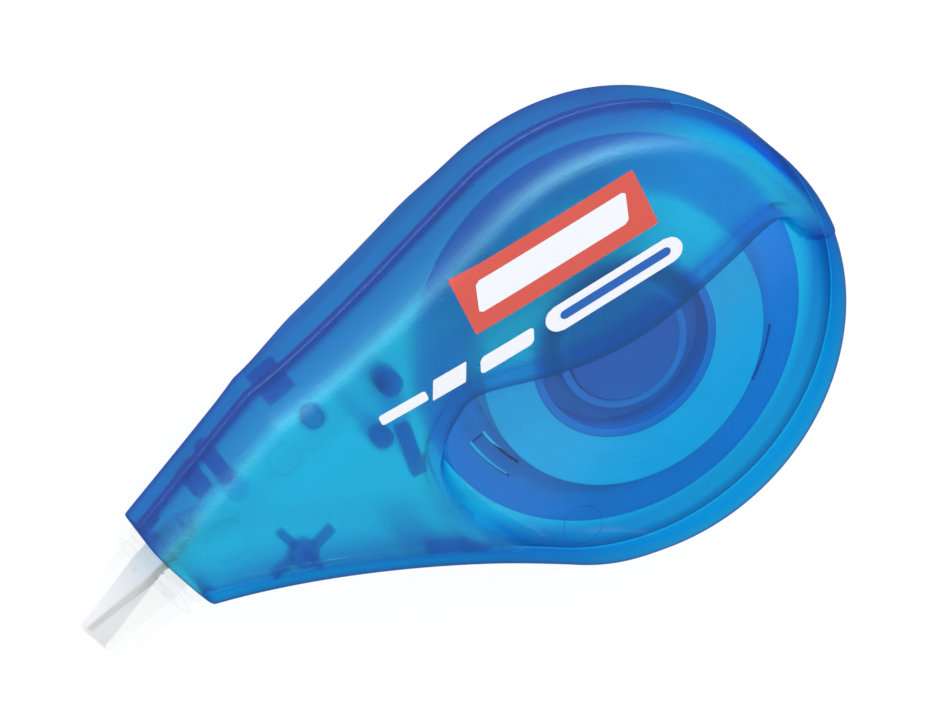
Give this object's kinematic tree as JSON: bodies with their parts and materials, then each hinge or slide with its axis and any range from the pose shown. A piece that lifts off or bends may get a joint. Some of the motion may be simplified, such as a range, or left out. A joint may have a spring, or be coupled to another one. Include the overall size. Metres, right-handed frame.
{
  "type": "correction tape",
  "caption": "Sideways correction tape with a see-through two-part casing, coaxial supply and take-up reels with a slip clutch, and a wedge tip.",
  "frame": {"origin": "where the common axis of the two reels meets the back face that the part lies on", "axes": "+X from the nose to the round tail, +Y to the side where the casing is fuller, +Z out of the front with the window"},
  "size_m": [0.0974, 0.0554, 0.0165],
  "materials": {
    "casing_blue": "see-through blue plastic, fine frosted texture on the raised part and polished in the window",
    "reel_blue": "moulded blue plastic",
    "tip_white": "milky white moulded plastic",
    "tape_white": "matt white correction tape",
    "film_clear": "clear carrier film",
    "clutch_rubber": "dark rubber ring"
  },
  "bodies": {
    "casing": {"front_shell": "casing_blue", "back_shell": "casing_blue", "applicator_tip": "tip_white", "hub_cap": "reel_blue", "feed_tape": "tape_white", "return_film": "film_clear"},
    "supply_reel": {"supply_core": "reel_blue", "supply_tape": "tape_white"},
    "take_up": {"take_up_reel": "reel_blue", "take_up_film": "film_clear", "clutch_ring": "clutch_rubber"}
  },
  "joints": [
    {"name": "supply_spin", "type": "hinge", "parent": "casing", "child": "supply_reel", "pos_m": [0, 0, 0.0094], "axis": [0, 0, 1], "continuous": true},
    {"name": "take_up_spin", "type": "hinge", "parent": "casing", "child": "take_up", "pos_m": [0, 0, 0.0045], "axis": [0, 0, 1], "continuous": true}
  ],
  "couplings": [
    {"joint": "take_up_spin", "follows": "supply_spin", "ratio": 0.8365}
  ]
}
